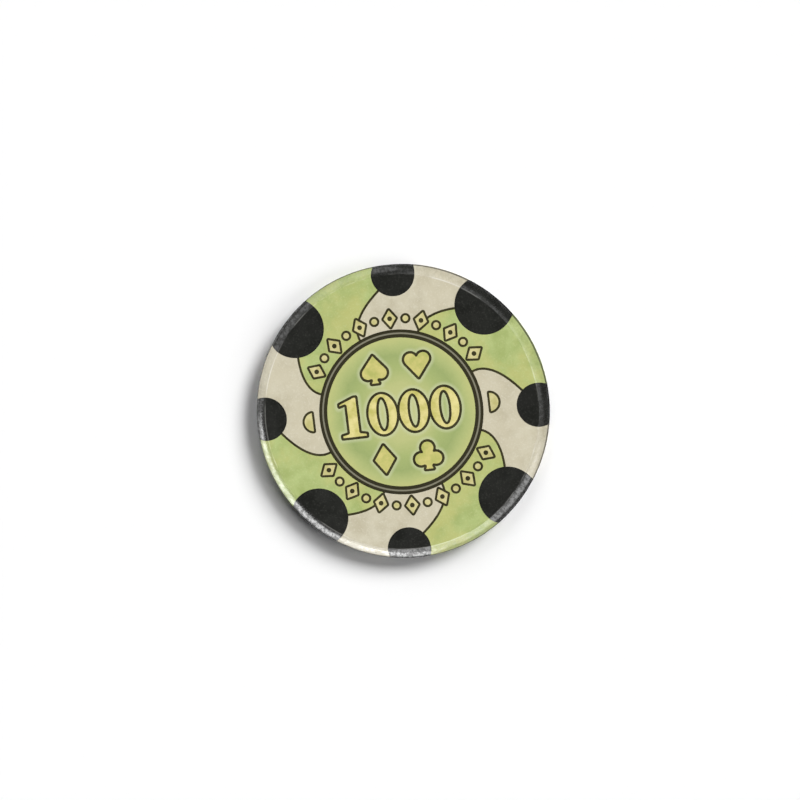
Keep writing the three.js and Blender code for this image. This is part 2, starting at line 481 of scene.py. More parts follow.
def label_finish():
    finish = Finish("label_print")
    wander = (finish.noise(*TINT_DRIFT) - 0.5) * TINT_WANDER
    place = finish.radius / LABEL_RADIUS + wander
    colour = finish.wire("ShaderNodeValToRGB", {"stops": LABEL_TINTS}, {"Fac": place})
    fibre = finish.noise(*FIBRE)
    colour = finish.mix(fibre * FIBRE_SHARE, colour, FIBRE_TINT)
    print_distance = finish.wire("ShaderNodeAttribute", {"attribute_name": PRINT_DISTANCE}, None, "Fac")
    halo = (1 - finish.step(print_distance, *HALO)) * HALO_SHARE
    return printed(finish, finish.mix(halo, colour, HALO_TINT), fibre, LABEL_ROUGHNESS, LABEL_RELIEF)


label_print = label_finish()
print(f"label finish: {len(LABEL_TINTS)} tints over a radius of {LABEL_RADIUS:.1f} mm")

# %% [markdown]
# ## Inks, ring and steel
# The motifs are printed in yellow tints with a dark line round them, the ring is a dark inlay with a pale
# groove, and the slug is rolled steel. The inks could be painted on the label's own finish, but they lie
# there as thin raised films, so each is a finish of its own, which needs little more than a drift of
# shade and a fine grain in its gloss. The radius picks out the groove of the ring, and noise drawn out
# along one axis gives the rolling lines of the steel.

# %% Finishes of the inks, the ring and the slug
RING_RELIEF = 0.006
GROOVE = (10.28, 10.54)
GROOVE_FADE = 0.05
INK_DRIFT = (1.6, 3.0)
INK_FINE = (0.25, 2.0)
INK_ROUGHNESS = (0.46, 0.58)
INK_RELIEF = 0.004
ROLLED_OUT = (0.4, 6.0, 6.0)
ROLLING_LINES = (0.5, 3.0)
STEEL_ROUGHNESS = (0.3, 0.45)
STEEL_RELIEF = 0.01


def ink_finish(name, pale, deep):
    """A film of printing ink whose shade drifts a little."""
    finish = Finish(name)
    colour = finish.mix(finish.step(finish.noise(*INK_DRIFT), *SHADE_STEP), deep, pale)
    return printed(finish, colour, finish.noise(*INK_FINE), INK_ROUGHNESS, INK_RELIEF)


def ring_finish():
    finish = Finish("ring_inlay")
    fine = finish.noise(*INK_FINE)
    in_groove = finish.step(finish.radius, GROOVE[0], GROOVE[0] + GROOVE_FADE)
    in_groove = in_groove * (1 - finish.step(finish.radius, GROOVE[1] - GROOVE_FADE, GROOVE[1]))
    dark = finish.mix(fine, seen(40, 38, 22), seen(58, 55, 36))
    colour = finish.mix(in_groove, dark, seen(134, 131, 112))
    return printed(finish, colour, fine, INK_ROUGHNESS, RING_RELIEF)


def steel_finish():
    finish = Finish("slug_steel")
    rolled = finish.wire("ShaderNodeMapping", None, {"Vector": finish.place, "Scale": ROLLED_OUT})
    lines = finish.noise(*ROLLING_LINES, rolled)
    return finish.finish({
        "Base Color": finish.mix(lines, seen(150, 152, 156), seen(182, 184, 186)),
        "Metallic": 1.0,
        "Roughness": finish.along(lines, *STEEL_ROUGHNESS),
        "Normal": finish.bump(lines, STEEL_RELIEF),
    })


ring_inlay = ring_finish()
slug_steel = steel_finish()
dark_ink = ink_finish("dark_ink", seen(64, 61, 36), seen(47, 44, 24))
number_tint = ink_finish("number_tint", seen(237, 225, 154), seen(200, 194, 108))
suit_tint = ink_finish("suit_tint", seen(218, 208, 130), seen(186, 189, 106))
border_tint = ink_finish("border_tint", seen(222, 213, 158), seen(196, 189, 124))
print(f"{len(bpy.data.materials)} materials in the file, the frame's own among them")

# %% [markdown]
# ## Camera
# The photograph looks almost straight down on the chip. A little of the edge shows at the right, so the
# camera leans that way by a few degrees, and the chip is turned so that its number rises to the right. A
# camera could be moved by eye until the pictures agree. Here it is worked out from where the chip's
# middle and rim lie in the picture, so that it stays right when a size changes. A long lens keeps the
# round outline round, and the camera is aimed beside the middle, which puts the chip in its place without
# a lens shift.

# %% Camera
PICTURE = 800
CHIP_AT = (402.5, 411.2)
CHIP_RADIUS_AT = 147.0
NUMBER_TILT = math.radians(7)
LEAN = math.radians(8)
LEAN_TOWARDS = math.radians(30)
LENS = 100.0
SENSOR = 36.0
CLIP_START = 0.005


def placed(name, data):
    """A new object that holds this data, in the scene."""
    made = bpy.data.objects.new(name, data)
    scene.collection.objects.link(made)
    return made


picture_right = Vector((math.cos(-NUMBER_TILT), math.sin(-NUMBER_TILT), 0))
picture_up = Vector((-picture_right.y, picture_right.x, 0))
per_pixel = RIM * MM / CHIP_RADIUS_AT
distance = per_pixel * PICTURE * LENS / SENSOR
lean = picture_right * math.cos(LEAN_TOWARDS) + picture_up * math.sin(LEAN_TOWARDS)
back = lean * math.sin(LEAN) + Vector((0, 0, math.cos(LEAN)))
right = picture_up.cross(back).normalized()
up = back.cross(right)
aim = Vector((0, 0, MIDDLE * MM))
aim -= right * (CHIP_AT[0] - PICTURE / 2) * per_pixel
aim += up * (CHIP_AT[1] - PICTURE / 2) * per_pixel

camera_data = bpy.data.cameras.new("camera")
camera_data.lens = LENS
camera_data.sensor_width = SENSOR
camera_data.clip_start = CLIP_START
camera = placed("camera", camera_data)
facing = Matrix((right, up, back)).transposed().to_4x4()
camera.matrix_world = Matrix.Translation(aim + back * distance) @ facing
scene.camera = camera
print(f"camera: {distance / MM:.0f} mm away, leaning {math.degrees(LEAN):.0f} degrees")

# %% [markdown]
# ## A recipe for what repeats
# Much of the chip repeats or follows a rule: blades, spots, lozenges, lines. Loops in Python could build
# each mesh point by point, but Geometry Nodes have the solids, Booleans and curves ready, and keep a rule
# apart from its sizes. `Recipe` is such a tree with named inputs. It ends by realizing its instances,
# shrinking millimetres to metres and setting the material. `make` runs it on an empty mesh, keeps the
# evaluated result as a plain mesh, and takes the modifier away again.

# %% Recipes
class Recipe(Graph):
    """A Geometry Nodes tree with named inputs, worked in millimetres."""

    def __init__(self, name, inputs):
        super().__init__(bpy.data.node_groups.new(name, "GeometryNodeTree"))
        self.keys = {}
        for label, kind in {**inputs, "Finish": "Material"}.items():
            socket = self.tree.interface.new_socket(label, in_out="INPUT", socket_type="NodeSocket" + kind)
            self.keys[label] = socket.identifier
        self.tree.interface.new_socket("Piece", in_out="OUTPUT", socket_type="NodeSocketGeometry")
        self.entry = self.node("NodeGroupInput")

    def input(self, label):
        return Wire(self, self.entry.outputs[label])

    def shape(self, label):
        """The geometry of an object that is given as an input."""
        return self.wire("GeometryNodeObjectInfo", None, {"Object": self.input(label)}, "Geometry")

    def shifted(self, geometry, by):
        return self.wire("GeometryNodeTransform", None, {"Geometry": geometry, "Translation": by})

    def turn(self, angle):
        """A rotation about an upright axis."""
        return self.wire("FunctionNodeEulerToRotation", None, {0: self.vector(z=angle)})

    def joined(self, parts):
        return self.wire("GeometryNodeJoinGeometry", None, {"Geometry": parts})

    def realized(self, geometry):
        return self.wire("GeometryNodeRealizeInstances", None, {"Geometry": geometry})

    def finish(self, geometry):
        """Ends the tree: plain geometry, in metres, with its material."""
        sockets = {"Geometry": self.realized(geometry), "Scale": (MM, MM, MM)}
        metres = self.wire("GeometryNodeTransform", None, sockets)
        sockets = {"Geometry": metres, "Material": self.input("Finish")}
        self.node("NodeGroupOutput", None, {0: self.wire("GeometryNodeSetMaterial", None, sockets)})
        return self

    def make(self, name, values):
        """Runs the tree with these input values and keeps the result as a plain mesh object."""
        empty = bpy.data.meshes.new(name)
        piece = placed(name, empty)
        modifier = piece.modifiers.new(self.tree.name, "NODES")
        modifier.node_group = self.tree
        for label, value in values.items():
            modifier[self.keys[label]] = value
        graph = bpy.context.evaluated_depsgraph_get()
        piece.data = bpy.data.meshes.new_from_object(piece.evaluated_get(graph))
        piece.modifiers.remove(modifier)
        bpy.data.meshes.remove(empty)
        piece.data.name = name
        return piece


print("recipes: ready")

# %% Settle a piece
CREASE = math.radians(12)


def settle(piece, slot, *nodes):
    """Shades a finished piece, lets it ride on the chip and stand for its CAD nodes."""
    piece.data.shade_smooth()
    piece.data.set_sharp_from_angle(angle=CREASE)
    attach(piece, "root")
    if nodes:
        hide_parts(*nodes)


print(f"settle: edges bent by more than {math.degrees(CREASE):.0f} degrees stay sharp")

# %% [markdown]
# ## The blank
# On the real chip every rim piece shares one outside shape, because they are pressed together in one
# mould. So the model starts from a blank turned on the chip's axis: a flat face, a hair-fine moulding
# line, a crease, a sloping shoulder that bulges a little, a small rounded corner, the upright edge, and
# the same again behind. A cylinder with bevels would come near, but its slope would be straight. Here the
# slope is a straight line pushed out by a parabola, and the corner is a quadratic curve from the slope to
# the edge. Turning that profile in bmesh gives clean rings of quads, and one flat face at each end.

# %% Profile of the shoulder
SHOULDER_BULGE = 0.1
SHOULDER_STEPS = 10
CORNER = 0.16
CORNER_STEPS = 8


def shoulder_points():
    """The shoulder of the front face, from its crease out to the edge, as (radius, height) points."""
    slope = Vector((RIM - FACE, -SHOULDER_DROP))
    outward = Vector((-slope.y, slope.x)).normalized()
    corner_share = CORNER / slope.length
    points = []
    for step in range(SHOULDER_STEPS + 1):
        along = (1 - corner_share) * step / SHOULDER_STEPS
        bulge = 4 * SHOULDER_BULGE * along * (1 - along)
        points.append(Vector((FACE, THICK)) + slope * along + outward * bulge)
    first = points[-1]
    tip = Vector((RIM, THICK - SHOULDER_DROP))
    last = tip - Vector((0, CORNER))
    for step in range(1, CORNER_STEPS + 1):
        t = step / CORNER_STEPS
        points.append(first * (1 - t) ** 2 + tip * (2 * t * (1 - t)) + last * t ** 2)
    return [tuple(point) for point in points]


print(f"shoulder: {len(shoulder_points())} points, bulging {SHOULDER_BULGE} mm")

# %% Turn the blank
TURN_STEPS = 240
LINE_FROM_CREASE = 0.1
LINE_HALF = 0.07
LINE_DEPTH = 0.025


def turned(name, profile, closed=False):
    """A profile turned about the chip's axis. An open profile gets a flat face at each end."""
    made = bmesh.new()
    angles = [2 * math.pi * step / TURN_STEPS for step in range(TURN_STEPS)]
    rings = []
    for radius, height in profile:
        rings.append([made.verts.new((radius * math.cos(a), radius * math.sin(a), height)) for a in angles])
    pairs = list(zip(rings, rings[1:]))
    if closed:
        pairs.append((rings[-1], rings[0]))
    else:
        made.faces.new(rings[0])
        made.faces.new(rings[-1])
    for one, other in pairs:
        for step in range(TURN_STEPS):
            after = (step + 1) % TURN_STEPS
            made.faces.new((one[step], one[after], other[after], other[step]))
    bmesh.ops.recalc_face_normals(made, faces=made.faces)
    mesh = bpy.data.meshes.new(name)
    made.to_mesh(mesh)
    made.free()
    return placed(name, mesh)


line = FACE - LINE_FROM_CREASE
front_profile = [
    (line - LINE_HALF, THICK),
    (line, THICK - LINE_DEPTH),
    (line + LINE_HALF, THICK),
    *shoulder_points(),
]
rear_profile = [(radius, THICK - height) for radius, height in reversed(front_profile)]
blank = turned("blank", front_profile + rear_profile)
print(f"blank: {len(blank.data.polygons)} faces")

# %% [markdown]
# ## Shapes that cut the rim
# The rim is a ring of pieces that run through the whole thickness: green blades that whirl out from the
# label, and black round spots on the blades' edges. A blade's edge is an S-curve: its angle swings as the
# cosine of the way from the ring to the rim, so it leaves both of them square. It could be drawn by hand,
# but a rule is shorter: a box whose length becomes the radius and whose width becomes the angle is bent
# into the blade by Set Position. A spot is a drum centred on that edge, just inside the rim.

# %% Blades
BLADES = 4
QUARTER = 2 * math.pi / BLADES
OVER = 1.5
EDGE_OF = {"Large": 1, "Small": -1}
BOX_POINTS = {"Vertices X": 72, "Vertices Y": 33, "Vertices Z": 2}


def whirl_at(g, radius):
    """How far a blade's edge has swung round at a radius."""
    ring = g.input("Ring Radius")
    way = g.wire("ShaderNodeClamp", None, {"Value": (radius - ring) / (g.input("Rim Radius") - ring)})
    return g.input("Whirl") * g.maths("COSINE", way * math.pi)


def edge_angle(g, size, radius):
    """The angle, at a radius, of the edge that carries the blade's large or small spot."""
    return g.input("Phase") + g.input("Arc") * (EDGE_OF[size] / 2) + whirl_at(g, radius)


def polar(g, radius, angle, height=0.0):
    """The place at a radius and an angle."""
    return g.vector(radius * g.maths("COSINE", angle), radius * g.maths("SINE", angle), height)


def blade_box(g, inset):
    """A box bent into a blade: its length runs out along the radius and its width round the chip."""
    box = g.wire("GeometryNodeMeshCube", None, {"Size": (1, 1, 1), **BOX_POINTS})
    x, y, z = g.split(g.wire("GeometryNodeInputPosition"))
    inner = g.input("Inner Radius")
    radius = inner + (x + 0.5) * (g.input("Rim Radius") + OVER - inner)
    angle = g.input("Phase") + y * (g.input("Arc") - 2 * inset / radius) + whirl_at(g, radius)
    place = polar(g, radius, angle, MIDDLE + z * (THICK + 2 * OVER))
    return g.wire("GeometryNodeSetPosition", None, {"Geometry": box, "Position": place})


print(f"blades: {BLADES}, one every {math.degrees(QUARTER):.0f} degrees")

# %% Drums and copies
DRUM_STEPS = 192


def drum(g, radius, low, high, steps=DRUM_STEPS):
    """A drum on the chip's axis, from one height to another."""
    sockets = {"Vertices": steps, "Radius": radius, "Depth": high - low}
    upright = g.wire("GeometryNodeMeshCylinder", None, sockets)
    return g.shifted(upright, g.vector(z=(low + high) / 2))


def spot_drum(g, size, inset):
    """A drum through the rim, centred on a blade's edge."""
    place = g.input(size + " Place")
    upright = drum(g, g.input(size + " Radius") - inset, -OVER, THICK + OVER)
    return g.shifted(upright, polar(g, place, edge_angle(g, size, place)))


def round_the_chip(g, geometry, count):
    """Copies of the geometry, evenly spaced round the chip."""
    points = g.wire("GeometryNodePoints", None, {"Count": count})
    turn = g.turn(g.wire("GeometryNodeInputIndex") * (2 * math.pi / count))
    sockets = {"Points": points, "Instance": geometry, "Rotation": turn}
    return g.realized(g.wire("GeometryNodeInstanceOnPoints", None, sockets))


print(f"spots: {BLADES * len(EDGE_OF)}, one on each edge of each blade")

# %% [markdown]
# ## Green blades and black spots
# On the real chip the blades and spots are pressed in with the body, so all of them share its shoulder.
# Modelled one by one, their shoulders would have to be matched. Instead each rim piece is what its box or
# drum has in common with the blank, so that they meet without a step. A blade also gives way to its two
# spots, and to the recess that holds the label and its ring on each face. A hairline is left between
# neighbours, as between two colours pressed together.

# %% Sizes and Booleans of the rim
ring_low, ring_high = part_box("front_label_ring")
RING_OUTER = ring_high.x / MM
HAIRLINE = 0.02
RIM_SIZES = {
    "Inner Radius": 10.35,
    "Ring Radius": RING_OUTER,
    "Rim Radius": RIM,
    "Arc": math.radians(48),
    "Whirl": math.radians(14),
    "Phase": math.radians(33),
    "Large Place": 17.9,
    "Large Radius": 3.9,
    "Small Place": 18.2,
    "Small Radius": 2.9,
    "Label Depth": 0.36,
    "Ring Depth": 0.55,
    "Core Radius": 9.8,
}


def boolean(g, operation, sockets):
    return g.wire("GeometryNodeMeshBoolean", {"operation": operation, "solver": "MANIFOLD"}, sockets)


def shared(g, *solids):
    """What the solids have in common."""
    return boolean(g, "INTERSECT", {"Mesh 2": list(solids)})


def less(g, solid, *cutters):
    """What the cutters leave of the solid."""
    return boolean(g, "DIFFERENCE", {"Mesh 1": solid, "Mesh 2": list(cutters)})


def recesses(g):
    """The recess in each face: shallow under the label, deeper in a groove under its ring."""
    radius = g.input("Ring Radius") + HAIRLINE
    core = drum(g, g.input("Core Radius"), -2 * OVER, THICK + 2 * OVER)
    label_depth = g.input("Label Depth")
    ring_depth = g.input("Ring Depth")
    return [
        drum(g, radius, THICK - label_depth, THICK + OVER),
        drum(g, radius, -OVER, label_depth),
        less(g, drum(g, radius, THICK - ring_depth, THICK + OVER), core),
        less(g, drum(g, radius, -OVER, ring_depth), core),
    ]


print(f"rim: {len(RIM_SIZES)} sizes")

# %% Make the blades and spots
def inputs_of(kind, *labels):
    """Named inputs of one kind."""
    return {label: kind for label in labels}


RIM_INPUTS = {"Blank": "Object", **inputs_of("Float", *RIM_SIZES)}


def blade_recipe():
    g = Recipe("whirled_blade", RIM_INPUTS)
    solid = shared(g, g.shape("Blank"), blade_box(g, HAIRLINE))
    spots = [spot_drum(g, size, 0.0) for size in EDGE_OF]
    return g.finish(less(g, solid, *spots, *recesses(g)))


def spot_recipe(size):
    g = Recipe(size.lower() + "_spot", RIM_INPUTS)
    return g.finish(shared(g, g.shape("Blank"), spot_drum(g, size, HAIRLINE)))


blade_tree = blade_recipe()
spot_trees = {size.lower(): spot_recipe(size) for size in EDGE_OF}
for index in range(BLADES):
    number = index + 1
    values = {**RIM_SIZES, "Blank": blank, "Phase": RIM_SIZES["Phase"] + QUARTER * index}
    blade = blade_tree.make(f"green_blade_{number}", {**values, "Finish": green})
    settle(blade, "green_composite", f"green_insert_{number}")
    for size, tree in spot_trees.items():
        spot = tree.make(f"{size}_spot_{number}", {**values, "Finish": black})
        settle(spot, "black_composite", f"{size}_black_spot_{number}")
    print(f"rim set {number}: blade of {len(blade.data.polygons)} faces")

# %% [markdown]
# ## The ivory halves
# What is left of the blank is the ivory body. It is moulded as two halves, so that the steel slug can be
# closed in, and their parting line shows as a fine line round the edge. Pegs on the rear half pass
# through the slug into sockets in the front half. Each half could be modelled with its notches, but
# cutting it with the shapes that made the rim pieces makes everything fit. One recipe makes both: a slab
# picks the front or the rear of the blank, and the blades, spots, recesses and slug pocket are cut from
# it in one Boolean.

# %% Make the halves
PARTING = 0.03
PEGS = 4
PEG_STEPS = 48
PEG_RADIUS = 1.0
PEG_BELOW = 0.95
PEG_ABOVE = 1.05
SOCKET_RADIUS = 1.15
SOCKET_DEPTH = 1.15
POCKET_SIZES = {"Pocket Radius": 9.6, "Pocket Half": 0.85, "Peg Circle": 6.2}
SLAB_LABELS = ("Low", "High", "Peg Radius", "Peg Low", "Peg High")
HALF_INPUTS = {**RIM_INPUTS, **inputs_of("Float", *POCKET_SIZES, *SLAB_LABELS)}


def half_recipe(name, pegs_stand):
    """One half of the body, on which the pegs stand or into which they are cut as sockets."""
    g = Recipe(name, HALF_INPUTS)
    slab = drum(g, g.input("Rim Radius") + OVER, g.input("Low"), g.input("High"))
    rim_pieces = [round_the_chip(g, blade_box(g, 0.0), BLADES)]
    rim_pieces += [round_the_chip(g, spot_drum(g, size, 0.0), BLADES) for size in EDGE_OF]
    pocket_half = g.input("Pocket Half")
    pocket = drum(g, g.input("Pocket Radius"), MIDDLE - pocket_half, MIDDLE + pocket_half)
    solid = less(g, shared(g, g.shape("Blank"), slab), *rim_pieces, *recesses(g), pocket)
    peg = drum(g, g.input("Peg Radius"), g.input("Peg Low"), g.input("Peg High"), PEG_STEPS)
    pegs = round_the_chip(g, g.shifted(peg, g.vector(g.input("Peg Circle"))), PEGS)
    whole = boolean(g, "UNION", {"Mesh 2": [solid, pegs]}) if pegs_stand else less(g, solid, pegs)
    return g.finish(whole)


half_values = {**RIM_SIZES, **POCKET_SIZES, "Blank": blank, "Finish": ivory}
front = half_recipe("ivory_front_half", False).make("ivory_front", {
    **half_values, "Low": MIDDLE + PARTING / 2, "High": THICK + OVER,
    "Peg Radius": SOCKET_RADIUS, "Peg Low": MIDDLE, "Peg High": MIDDLE + SOCKET_DEPTH,
})
rear = half_recipe("ivory_rear_half", True).make("ivory_rear", {
    **half_values, "Low": -OVER, "High": MIDDLE - PARTING / 2,
    "Peg Radius": PEG_RADIUS, "Peg Low": MIDDLE - PEG_BELOW, "Peg High": MIDDLE + PEG_ABOVE,
})
settle(front, "ivory_composite", "front_half")
settle(rear, "ivory_composite", "rear_half")
bpy.data.objects.remove(blank)
print(f"halves: {len(front.data.polygons)} and {len(rear.data.polygons)} faces")

# %% [markdown]
# ## Rings and slug
# A dark ring lies round each label and hides the joint between the label and the blades. Its top has two
# low beads with a groove between them. A torus would be too round for it, so it is turned from its
# profile, like the blank. The rear of the chip is like the front, so the ring is copied and turned over,
# which keeps its faces pointing outwards as a mirror would not. The slug is closed inside, so its CAD
# solid stays as it is and only gets a steel finish.

# %% Turn the rings
TURN_OVER = Matrix.Translation((0, 0, THICK * MM)) @ Matrix.Rotation(math.pi, 4, "Y")
RING_INNER = 9.87
RING_LOW = ring_low.z / MM
RING_TOP = ring_high.z / MM
BEAD_EDGE = 0.05
GROOVE_DEPTH = 0.03


def both_faces(piece, slot, to_rear, *nodes):
    """Settles a front piece, and a copy of it on the rear face."""
    rear_piece = placed(piece.name.replace("front", "rear"), piece.data.copy())
    rear_piece.data.transform(to_rear)
    settle(piece, slot, *nodes)
    settle(rear_piece, slot, *(node.replace("front", "rear") for node in nodes))


ring = turned("ring_front", closed=True, profile=[
    (RING_INNER, RING_LOW),
    (RING_INNER, RING_TOP - BEAD_EDGE),
    (RING_INNER + BEAD_EDGE, RING_TOP),
    (GROOVE[0] - BEAD_EDGE / 2, RING_TOP),
    (GROOVE[0] + BEAD_EDGE / 2, RING_TOP - GROOVE_DEPTH),
    (GROOVE[1] - BEAD_EDGE / 2, RING_TOP - GROOVE_DEPTH),
    (GROOVE[1] + BEAD_EDGE / 2, RING_TOP),
    (RING_OUTER - BEAD_EDGE, RING_TOP),
    (RING_OUTER, RING_TOP - BEAD_EDGE),
    (RING_OUTER, RING_LOW),
])
ring.data.transform(Matrix.Scale(MM, 4))
ring.data.materials.append(ring_inlay)
both_faces(ring, "dark_print", TURN_OVER, "front_label_ring")

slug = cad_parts["steel_slug"]
slug.data.materials.clear()
slug.data.materials.append(slug_steel)
print(f"rings: {2 * RING_INNER:.1f} mm across inside and {2 * RING_OUTER:.1f} mm outside")

# %% [markdown]
# ## Outlines of the print
# The print is a plain number, the four suits of a pack of cards, and a border of lozenges, beads and half
# moons. A font would bring shapes of its own, so each motif is drawn here, as an outline of straight
# stretches and arcs in millimetres. The outlines are kept as curves, because the same one gives both the
# coloured film inside it and the dark line round it.

# %% Drawing tools
def arc(x, y, radius, start, end, steps=12):
    """Points on an arc about (x, y), from one angle in degrees to another."""
    angles = [math.radians(start + (end - start) * step / steps) for step in range(steps + 1)]
    return [(x + radius * math.cos(a), y + radius * math.sin(a)) for a in angles]


def oval(half_width, half_height, steps=40):
    angles = [2 * math.pi * step / steps for step in range(steps)]
    return [(half_width * math.cos(a), half_height * math.sin(a)) for a in angles]


def diamond(half_width, half_height):
    return [(0, -half_height), (half_width, 0), (0, half_height), (-half_width, 0)]


def moved(points, x, y, scale=1.0):
    return [(x + scale * px, y + scale * py) for px, py in points]


def drawn(name, loops):
    """A curve of closed outlines, in millimetres."""
    curve = bpy.data.curves.new(name, "CURVE")
    curve.dimensions = "3D"
    for loop in loops:
        spline = curve.splines.new("POLY")
        spline.points.add(len(loop) - 1)
        for point, (x, y) in zip(spline.points, loop):
            point.co = (x, y, 0, 1)
        spline.use_cyclic_u = True
    return placed(name, curve)


print(f"drawing: an arc of {len(arc(0, 0, 1, 0, 90))} points, an oval of {len(oval(1, 1))}")

# %% Draw the motifs
ONE = [(-2.2, 0), (2.2, 0), (2.2, 0.65), (1.0, 0.9), (1.0, 7.0), (0.4, 7.0), (-2.2, 6.0), (-2.2, 5.4),
       (-1.0, 5.75), (-1.0, 0.9), (-2.2, 0.65)]
ZERO = [oval(2.6, 3.6), oval(0.85, 2.75)]
HEART = [(0, -1.9), *arc(0.85, 0.75, 0.95, -35, 153), *arc(-0.85, 0.75, 0.95, 27, 215)]
DIAMOND = diamond(1.5, 2.1)
SPADE = [(0.7, -2), *arc(0.87, -0.5, 0.93, -124, 35), (0, 2), *arc(-0.87, -0.5, 0.93, 145, 304), (-0.7, -2)]
CLUB = [(0.7, -2), *arc(1, -0.5, 0.95, -130, 103), *arc(0, 0.95, 0.95, -33, 213),
        *arc(-1, -0.5, 0.95, 77, 310), (-0.7, -2)]
LOZENGE = [diamond(0.95, 1.3), oval(0.2, 0.2, steps=16)]
BEAD = oval(0.5, 0.5, steps=20)
HALF_MOON = arc(0, 0.65, 1.33, -180, 0, steps=16)
DIGIT_SCALE = 0.78
# Each digit and each suit comes with its place on the label.
DIGITS = [([ONE], -8.3, -3.5), (ZERO, -3.15, 0), (ZERO, 2.2, 0), (ZERO, 7.55, 0)]
SUITS = [(SPADE, -2.9, 6.0), (HEART, 2.9, 6.0), (DIAMOND, -2.9, -6.0), (CLUB, 2.9, -6.0)]

number_loops = []
for loops, x, y in DIGITS:
    number_loops += [moved(loop, DIGIT_SCALE * x, DIGIT_SCALE * y, DIGIT_SCALE) for loop in loops]
number_drawn = drawn("number_outline", number_loops)
suits_drawn = drawn("suit_outlines", [moved(loop, x, y) for loop, x, y in SUITS])
lozenge_drawn = drawn("lozenge_outline", LOZENGE)
bead_drawn = drawn("bead_outline", [BEAD])
moon_drawn = drawn("half_moon_outline", [HALF_MOON])
print(f"motifs: {len(number_loops)} outlines in the number, {len(SUITS)} suits")

# %% [markdown]
# ## Ink from the outlines
# Ink is a film a few hundredths of a millimetre thick. A mask in the label's finish could paint it, but
# then it would be flat: as a thin solid it catches the light along its edges. A line is the outline swept
# with a flat oval section. A film is the outline filled with triangles and raised a little, with its
# underside closed. Corners are rounded first with Fillet Curve, both because a pen or a screen rounds
# them and because a swept section grows thin at a sharp corner.

# %% Recipes for ink
INK_LABELS = ("Level", "Width", "Height", "Corner")
FILLET_STEPS = 3
SECTION_POINTS = 10
SUNK = 0.01
SAME_POINT = 0.0001


def rounded(g, curve):
    sockets = {"Curve": curve, "Count": FILLET_STEPS, "Radius": g.input("Corner"), "Limit Radius": True}
    return g.wire("GeometryNodeFilletCurve", {"mode": "POLY"}, sockets)


def raised(g, geometry):
    """The geometry, lifted from the ground to the level of the print."""
    return g.shifted(geometry, g.vector(z=g.input("Level")))


def ink_line(g, curve):
    """A line of ink along a curve: a flat oval section, half of it sunk in the surface."""
    flat = g.wire("GeometryNodeSetCurveNormal", {"mode": "Z_UP"}, {"Curve": curve})
    circle = g.wire("GeometryNodeCurvePrimitiveCircle", None, {"Resolution": SECTION_POINTS, "Radius": 0.5})
    size = g.vector(g.input("Width"), 2 * g.input("Height"), 1.0)
    section = g.wire("GeometryNodeTransform", None, {"Geometry": circle, "Scale": size})
    sockets = {"Curve": flat, "Profile Curve": section, "Fill Caps": True}
    return raised(g, g.wire("GeometryNodeCurveToMesh", None, sockets))


def ink_film(g, curve):
    """A closed film of ink inside a curve, its underside sunk in the surface."""
    sheet = g.wire("GeometryNodeFillCurve", {"mode": "TRIANGLES"}, {"Curve": curve})
    height = g.input("Height") + SUNK
    sockets = {"Mesh": sheet, "Offset": (0, 0, 1), "Offset Scale": height, "Individual": False}
    top = g.wire("GeometryNodeExtrudeMesh", None, sockets)
    base = g.wire("GeometryNodeFlipFaces", None, {"Mesh": sheet})
    sockets = {"Geometry": g.joined([top, base]), "Distance": SAME_POINT}
    closed = g.wire("GeometryNodeMergeByDistance", None, sockets)
    return raised(g, g.shifted(closed, (0, 0, -SUNK)))


def ink_recipe(name, lay):
    g = Recipe(name, {"Outline": "Object", **inputs_of("Float", *INK_LABELS)})
    return g.finish(lay(g, rounded(g, g.shape("Outline"))))


line_tree = ink_recipe("ink_line", ink_line)
film_tree = ink_recipe("ink_film", ink_film)
print("ink recipes:", line_tree.tree.name, film_tree.tree.name)

# %% [markdown]
# ## The labels
# The label is a printed disc let into the face, turned like the blank. Round each motif its tint fades to
# a pale halo, as on a hand-tinted print whose colour stops short of the line. The halo could be a second
# film under the ink, but that would have an edge. So the disc is turned from many fine rings, Geometry
# Proximity measures how far each of its points lies from the nearest outline, and that distance is stored
# as an attribute for the finish to read. The rear label is the front one, copied and turned over.

# %% Turn the label and measure its halo
LABEL_RINGS = 80
LABEL_EDGE = RING_INNER - HAIRLINE
LABEL_FLAT = LABEL_EDGE - BEAD_EDGE
LABEL_LOW = label_low.z / MM
LABEL_TOP = label_high.z / MM


def label_recipe():
    g = Recipe("haloed_label", {**inputs_of("Object", "Disc", "Number", "Suits"), "Level": "Float"})
    drawing = g.joined([g.shape("Number"), g.shape("Suits")])
    edges = raised(g, g.wire("GeometryNodeCurveToMesh", None, {"Curve": drawing}))
    apart = g.wire("GeometryNodeProximity", {"target_element": "EDGES"}, {0: edges}, "Distance")
    settings = {"data_type": "FLOAT", "domain": "POINT"}
    sockets = {"Geometry": g.shape("Disc"), "Name": PRINT_DISTANCE, "Value": apart}
    return g.finish(g.wire("GeometryNodeStoreNamedAttribute", settings, sockets))


label_profile = [(LABEL_FLAT * ring / LABEL_RINGS, LABEL_TOP) for ring in range(1, LABEL_RINGS + 1)]
label_profile += [(LABEL_EDGE, LABEL_TOP - BEAD_EDGE / 2), (LABEL_EDGE, LABEL_LOW)]
disc = turned("label_disc", label_profile)
label = label_recipe().make("label_front", {
    "Disc": disc, "Number": number_drawn, "Suits": suits_drawn, "Level": LABEL_TOP, "Finish": label_print,
})
bpy.data.objects.remove(disc)
both_faces(label, "label_print", TURN_OVER, "front_label")
print(f"label: {2 * LABEL_EDGE:.1f} mm across, {len(label.data.polygons)} faces")

# %% [markdown]
# ## Print on the labels
# The number stands across the middle with two suits above it and two below. Each could have its own
# recipe, but they are printed alike, so a loop runs the film and the line on both drawings. The suits are
# a deeper yellow than the number, so that the number reads first, and all of them share one weight of
# dark line.

